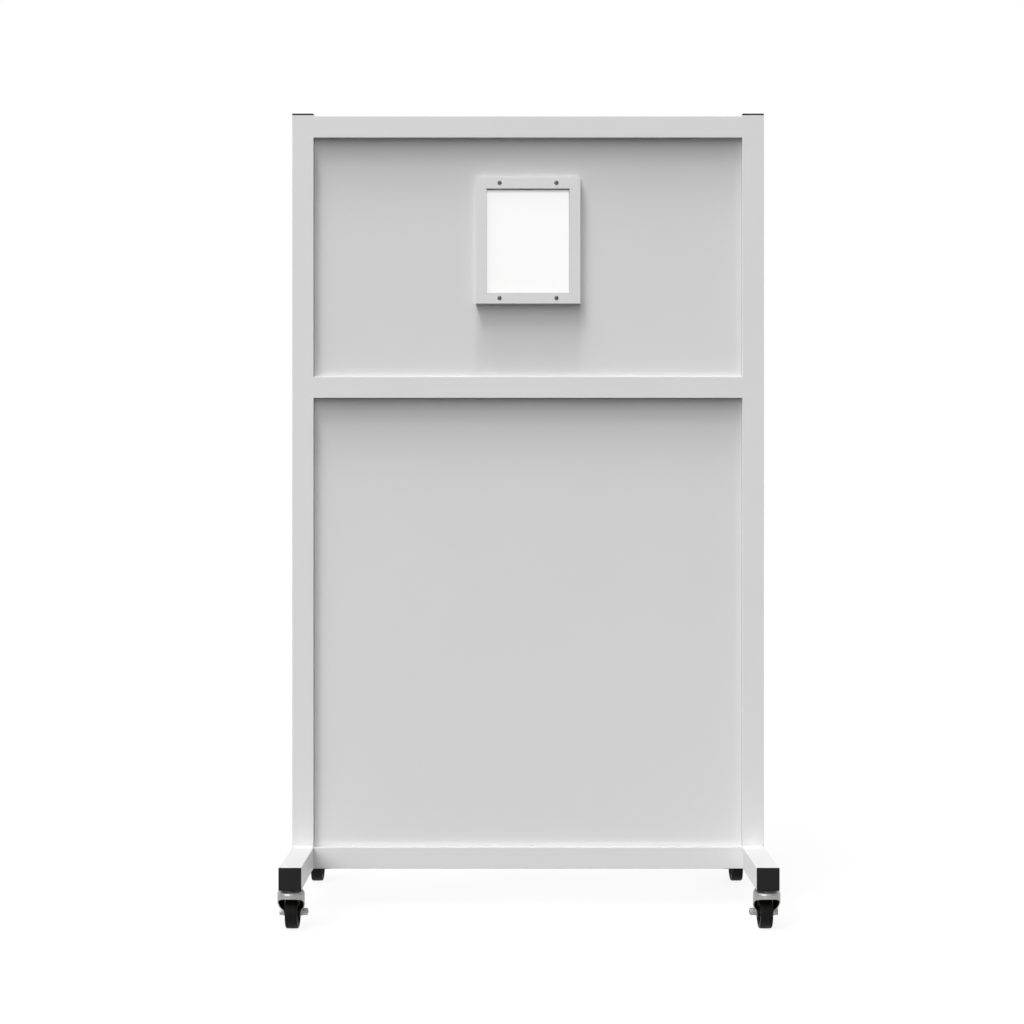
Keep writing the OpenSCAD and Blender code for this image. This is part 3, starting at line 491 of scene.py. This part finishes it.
def at_window(rings, face, turn):
    """The rings at each corner of the window, on the frame's front (-1) or rear (1) face."""
    middle = Vector((WINDOW.x, FRAME_Y, WINDOW.z))
    places = [middle + Vector((sx * WINDOW_SCREW_X, face * HALF_TUBE, sz * WINDOW_SCREW_UP)) * MM
              for sx in SIDES for sz in SIDES]
    return [(rings, Matrix.Translation(place) @ turn) for place in places]


ringed_piece("window_button_screws", at_window(window_screw, -1, FACE_FRONT),
             FRAME_BODY, "screw_steel", ["window_screws"])
ringed_piece("window_barrel_nuts", at_window(window_nut, 1, FACE_REAR),
             FRAME_BODY, "screw_steel", ["window_sleeve_nuts"])

# Cross-recessed screws through both legs of the retaining angles, behind the panels
ANGLE_LEG = 12.0
ANGLE_T = 1.6
ANGLE_END_GAP = 0.5
SCREW_PITCH = 300.0
SCREW_END = 40.0          # from the end of an angle to its last screw
SCREW_IN = 7.6            # from the corner of an angle to its screws
SMALL_SCREW_R = 1.95
SMALL_ROUND = 32
SMALL_CROSS = cross(length=1.9, half_width=0.5)
SMALL_HEAD = domed_head(head_r=3.4, head_h=2.0, recess=SMALL_CROSS, depth=1.0)

panel_screw = turned(screw(SMALL_SCREW_R, length=10.4, head=SMALL_HEAD), SMALL_ROUND)
tube_screw = turned(screw(SMALL_SCREW_R, length=9.6, head=SMALL_HEAD), SMALL_ROUND)


def screw_places(length):
    count = max(2, int(length / SCREW_PITCH + 0.5) + 1)
    return [(i / (count - 1) - 0.5) * (length - 2 * SCREW_END) for i in range(count)]


def side_places(low, high):
    """The sides of an opening: x and z of the middle, the turn and the length."""
    upright = high - low - 2 * (ANGLE_LEG + ANGLE_END_GAP)
    middle = (low + high) / 2
    return [(0, low, 0, 2 * RAIL_END), (0, high, 180, 2 * RAIL_END),
            (-RAIL_END, middle, 90, upright), (RAIL_END, middle, -90, upright)]


small_screws = []
for lower_rail, upper_rail in (("bottom_rail", "middle_rail"), ("middle_rail", "top_rail")):
    for x, z, turn, length in side_places(span(lower_rail, "z")[1], span(upper_rail, "z")[0]):
        side = (Matrix.Translation(Vector((x, PANEL_REAR, z)) * MM)
                @ Matrix.Rotation(math.radians(turn), 4, "Y"))
        for along in screw_places(length):
            into_panel = Matrix.Translation(Vector((along, ANGLE_T, SCREW_IN)) * MM) @ FACE_REAR
            into_tube = Matrix.Translation(Vector((along, SCREW_IN, ANGLE_T)) * MM)
            small_screws += [(panel_screw, side @ into_panel), (tube_screw, side @ into_tube)]
ringed_piece("cross_recess_screws", small_screws, FRAME_BODY, "screw_steel", ["retaining_screws"])


# Axle bolts

BOLT_R = 4.0
BOLT_FACE = 22.6          # from the middle of the wheel to the faces of the bosses
WASHER_T = 1.6
WASHER_R = 8.0
HEAD_H = 5.3
NUT_H = 11.0
CORNER_R = 7.7            # radius of the turned-off corners of head and nut
CORNER_UP = 0.1
FACE_IN = 0.5             # from that radius to the flat outer face of head or nut
SEAT_IN = 0.4             # and to the nut's seat
NUT_BORE_GAP = 0.3
ROOT_R = 3.55             # radius of the thread's root
CREST = (0.4, 0.55)       # the thread's last crest stands from and to here outside the nut
LAST_ROOT = 0.95
THREAD_END = 1.5
TIP_IN = (0.15, 0.7)      # what the chamfer of the bolt's end takes off its radius
TIP_CHAMFER = 0.3

full_hex = hexagon(across=14.5)
turned_hex = turned_off(full_hex, CORNER_R)
head_in = -BOLT_FACE - WASHER_T
nut_out = BOLT_FACE + NUT_H


def hexagon_end(z, inwards, face_in):
    """Profile of an end of the head or nut, from its flat face at z on inwards."""
    return [(CORNER_R - face_in, z), (turned_hex, z + inwards * CORNER_UP),
            (full_hex, z + inwards * CHAMFER)]


head = hexagon_end(head_in - HEAD_H, 1, FACE_IN) + [(full_hex, head_in)]
washer = [(WASHER_R - BEVEL, head_in), (WASHER_R, head_in + BEVEL),
          (WASHER_R, -BOLT_FACE - BEVEL), (WASHER_R - BEVEL, -BOLT_FACE)]
shaft = [(BOLT_R, -BOLT_FACE), (BOLT_R, BOLT_FACE)]
nut = hexagon_end(BOLT_FACE, 1, SEAT_IN) + hexagon_end(nut_out, -1, FACE_IN)[::-1]
nut_bore = [(BOLT_R + NUT_BORE_GAP, nut_out), (BOLT_R + NUT_BORE_GAP, nut_out - CHAMFER)]
thread_end = [(ROOT_R, nut_out - CHAMFER), (ROOT_R, nut_out),
              (BOLT_R, nut_out + CREST[0]), (BOLT_R, nut_out + CREST[1]),
              (ROOT_R, nut_out + LAST_ROOT),
              (BOLT_R - TIP_IN[0], nut_out + THREAD_END - TIP_CHAMFER),
              (BOLT_R - TIP_IN[1], nut_out + THREAD_END)]
bolt = turned(head + washer + shaft + nut + nut_bore + thread_end)

# The head points away from the middle of the barrier
for corner in CORNERS:
    axle = middle_of(corner + "_tyre")
    turn = Matrix.Rotation(math.radians(90 if axle.x < 0 else -90), 4, "Y")
    ringed_piece(corner + "_axle_bolt", [(bolt, Matrix.Translation(axle) @ turn)],
                 corner + "_swivel", "zinc_steel", [corner + "_axle"])


# Welds

# The rails are welded to the uprights and ground flush, so the grooves at the rounded corners of
# the tubes are filled. Small beads are left on top of the top rail and in front of and behind
# the uprights' lower ends.
CORNER_ROUND = 1.2        # of the tubes
FLUSH = 0.02              # how far a ground weld stands over the tubes' faces
WELD_OVER = 0.4           # how far it runs past the groove on each side
WELD_ROOT = 0.2
WELD_END_GAP = 0.5
BEAD_SINK = 0.3           # how far a bead reaches into the tubes

# Length and height of a bead, and where its face bulges, as shares of the two
FOOT_BEAD = (2.4, 2.4)
FOOT_BULGE = (0.55, 0.65)
RAIL_BEAD = (4.6, 2.3)
RAIL_BULGE = (0.45, 0.6)


def bar(outline, along, low, high):
    """A straight bar: outline gives two coordinates of each point, and the bar runs along the
    third from low to high. All are millimetres from the middle of the frame's tubes."""
    def point(pair, end):
        place = list(pair)
        place.insert("xyz".index(along), end)
        return Vector(place) * MM + Vector((0, FRAME_Y, 0))
    return [[point(pair, end) for pair in outline] for end in (low, high)]


def ground_weld(side, face, low, high):
    outer = face * (HALF_TUBE + FLUSH)
    outline = [(side * (RAIL_END - WELD_OVER), outer),
               (side * (RAIL_END + CORNER_ROUND + WELD_OVER), outer),
               (side * (RAIL_END + WELD_ROOT), face * (HALF_TUBE - CORNER_ROUND))]
    return bar(outline, "z", low + WELD_END_GAP, high - WELD_END_GAP)


def bead_outline(corner, away, top, size, bulge):
    """A bead in the corner where a tube stands on the face top of another. It runs out from the
    corner towards away."""
    length, height = size
    return [(corner - away * BEAD_SINK, top - BEAD_SINK), (corner + away * length, top),
            (corner + away * bulge[0] * length, top + bulge[1] * height), (corner, top + height)]


def foot_bead(side, face, top):
    half = HALF_TUBE - CORNER_ROUND
    outline = bead_outline(face * HALF_TUBE, face, top, FOOT_BEAD, FOOT_BULGE)
    return bar(outline, "x", side * UPRIGHT_X - half, side * UPRIGHT_X + half)


def rail_bead(side, top):
    half = HALF_TUBE - CORNER_ROUND
    outline = bead_outline(side * RAIL_END, -side, top, RAIL_BEAD, RAIL_BULGE)
    return bar(outline, "y", -half, half)


foot_top = span("left_foot", "z")[1]
rail_top = span("top_rail", "z")[1]
welds = []
for side in SIDES:
    for rail in ("top_rail", "middle_rail"):
        welds += [ground_weld(side, face, *span(rail, "z")) for face in SIDES]
    welds += [foot_bead(side, face, foot_top) for face in SIDES]
    welds.append(rail_bead(side, rail_top))
ringed_piece("ground_welds", [(weld, Matrix.Identity(4)) for weld in welds],
             FRAME_BODY, "powder_coat", [])


# Floor

FLOOR_R = 40.0
FLOOR_SEGMENTS = 128
FLOOR_GLOW = 0.86

floor_mesh = bpy.data.meshes.new("floor")
bm = bmesh.new()
bmesh.ops.create_circle(bm, cap_ends=True, segments=FLOOR_SEGMENTS, radius=FLOOR_R)
bm.to_mesh(floor_mesh)
bm.free()
floor = add_object("floor", floor_mesh)
floor_mat = coated("floor", grey(0.15), spread=0.01, patch=2.0, roughness=0.8, grain=60.0,
                   depth=0.0002, specular=0.05)
floor_shader = floor_mat.node_tree.nodes["Principled BSDF"]
floor_shader.inputs["Emission Color"].default_value = (*grey(1.0), 1.0)
floor_shader.inputs["Emission Strength"].default_value = FLOOR_GLOW
floor_mesh.materials.append(floor_mat)
floor.visible_diffuse = False     # a bright sweep that throws no light back up


# Sky

# The camera sees it white. It lights the barrier by its brightness at each height, from straight
# down (0) over the horizon (0.5) to the zenith (1).
SKY_FRONT = [(0.49, 0.05), (0.51, 0.20), (0.75, 0.85), (0.95, 0.59)]
SKY_REAR = [(0.49, 0.40), (0.51, 0.90), (0.75, 1.00), (0.95, 0.12)]
SKY_EDGE = 0.1            # half the width of the band where the front sky turns into the rear sky

world = bpy.data.worlds.new("studio")
bpy.context.scene.world = world
world.use_nodes = True
wt = world.node_tree
wt.nodes.clear()
direction = wt.nodes.new("ShaderNodeTexCoord")
split = wt.nodes.new("ShaderNodeSeparateXYZ")
wt.links.new(direction.outputs["Generated"], split.inputs["Vector"])
height = map_range(wt, split.outputs["Z"], (-1.0, 1.0))
rearward = map_range(wt, split.outputs["Y"], (-SKY_EDGE, SKY_EDGE))


def sky_light(stops):
    light = wt.nodes.new("ShaderNodeBackground")
    tone = ramp(wt, height, [(place, grey(brightness)) for place, brightness in stops])
    wt.links.new(tone, light.inputs["Color"])
    return light.outputs["Background"]


def mixed(factor, first, second):
    node = wt.nodes.new("ShaderNodeMixShader")
    for value, socket in zip((factor, first, second), node.inputs):
        wt.links.new(value, socket)
    return node.outputs["Shader"]


seen = wt.nodes.new("ShaderNodeBackground")
seen.inputs["Color"].default_value = (*grey(1.0), 1.0)
path = wt.nodes.new("ShaderNodeLightPath")
lighting = mixed(rearward, sky_light(SKY_FRONT), sky_light(SKY_REAR))
surface = mixed(path.outputs["Is Camera Ray"], lighting, seen.outputs["Background"])
out = wt.nodes.new("ShaderNodeOutputWorld")
wt.links.new(surface, out.inputs["Surface"])


# Lamps

# Each lights the faces of the panels, all the rest, or the sleeve round the glass, which gets
# the light that the floor throws up
receivers = {group: bpy.data.collections.new(group + "_lit")
             for group in ("panels", "rest", "window_sleeve")}
for obj in list(bpy.context.scene.objects):
    if obj.type == "MESH":
        receivers["panels" if "laminate" in obj.name else "rest"].objects.link(obj)
for name in ("window_liner", "window_frame_rear"):
    receivers["window_sleeve"].objects.link(NODES[name])


def add_lamp(name, kind, lit, strength):
    data = bpy.data.lights.new(name, kind)
    data.energy = strength
    lamp = add_object(name, data)
    lamp.light_linking.receiver_collection = receivers[lit]
    return lamp


def soft_sun(name, lit, strength, spread, tilt_front, tilt_left):
    """A wide soft light. The tilts lean it from the zenith, in degrees."""
    sun = add_lamp(name, "SUN", lit, strength)
    sun.data.angle = math.radians(spread)
    front, left = math.radians(tilt_front), math.radians(tilt_left)
    towards = Vector((-math.sin(left) * math.cos(front), -math.sin(front) * math.cos(left),
                      math.cos(front) * math.cos(left)))
    sun.rotation_euler = towards.to_track_quat("Z", "Y").to_euler()
    return sun


# name, what it lights, strength, spread, and the tilts to the front and to the left. A tilt to
# the front over 90 degrees lights from below, and one under 0 from the rear.
SUNS = [
    ("panel_high", "panels", 3.85, 6.0, 4.0, 0.5),
    ("panel_mid", "panels", 3.40, 14.0, 9.0, 14.0),
    ("panel_left", "panels", 1.26, 20.0, 18.0, 25.0),
    ("panel_low", "panels", 0.40, 30.0, 35.0, 10.0),
    ("panel_rear", "panels", 0.45, 40.0, -60.0, 0.0),
    ("key_high", "rest", 0.85, 40.0, 30.0, 20.0),
    ("key_left", "rest", 0.96, 40.0, 40.0, 40.0),
    ("key_low", "rest", 0.58, 40.0, 70.0, 50.0),
    ("window_sleeve", "window_sleeve", 2.2, 30.0, 130.0, 0.0),
]
for name, lit, *setting in SUNS:
    sun = soft_sun(name, lit, *setting)
    if lit == "window_sleeve":
        sun.light_linking.blocker_collection = receivers[lit]

# What the floor in front throws back up at the panels
BOUNCE_POWER = 0.48
BOUNCE_SIZE = (1.4, 0.3)
BOUNCE_AT = (0.0, -1.25, 0.02)
BOUNCE_TILT = 120.0       # to the rear, from facing down

bounce = add_lamp("floor_bounce", "AREA", "panels", BOUNCE_POWER)
bounce.data.shape = "RECTANGLE"
bounce.data.size, bounce.data.size_y = BOUNCE_SIZE
bounce.location = BOUNCE_AT
bounce.rotation_euler = (math.radians(BOUNCE_TILT), 0.0, 0.0)
bounce.visible_camera = False
bounce.visible_glossy = False
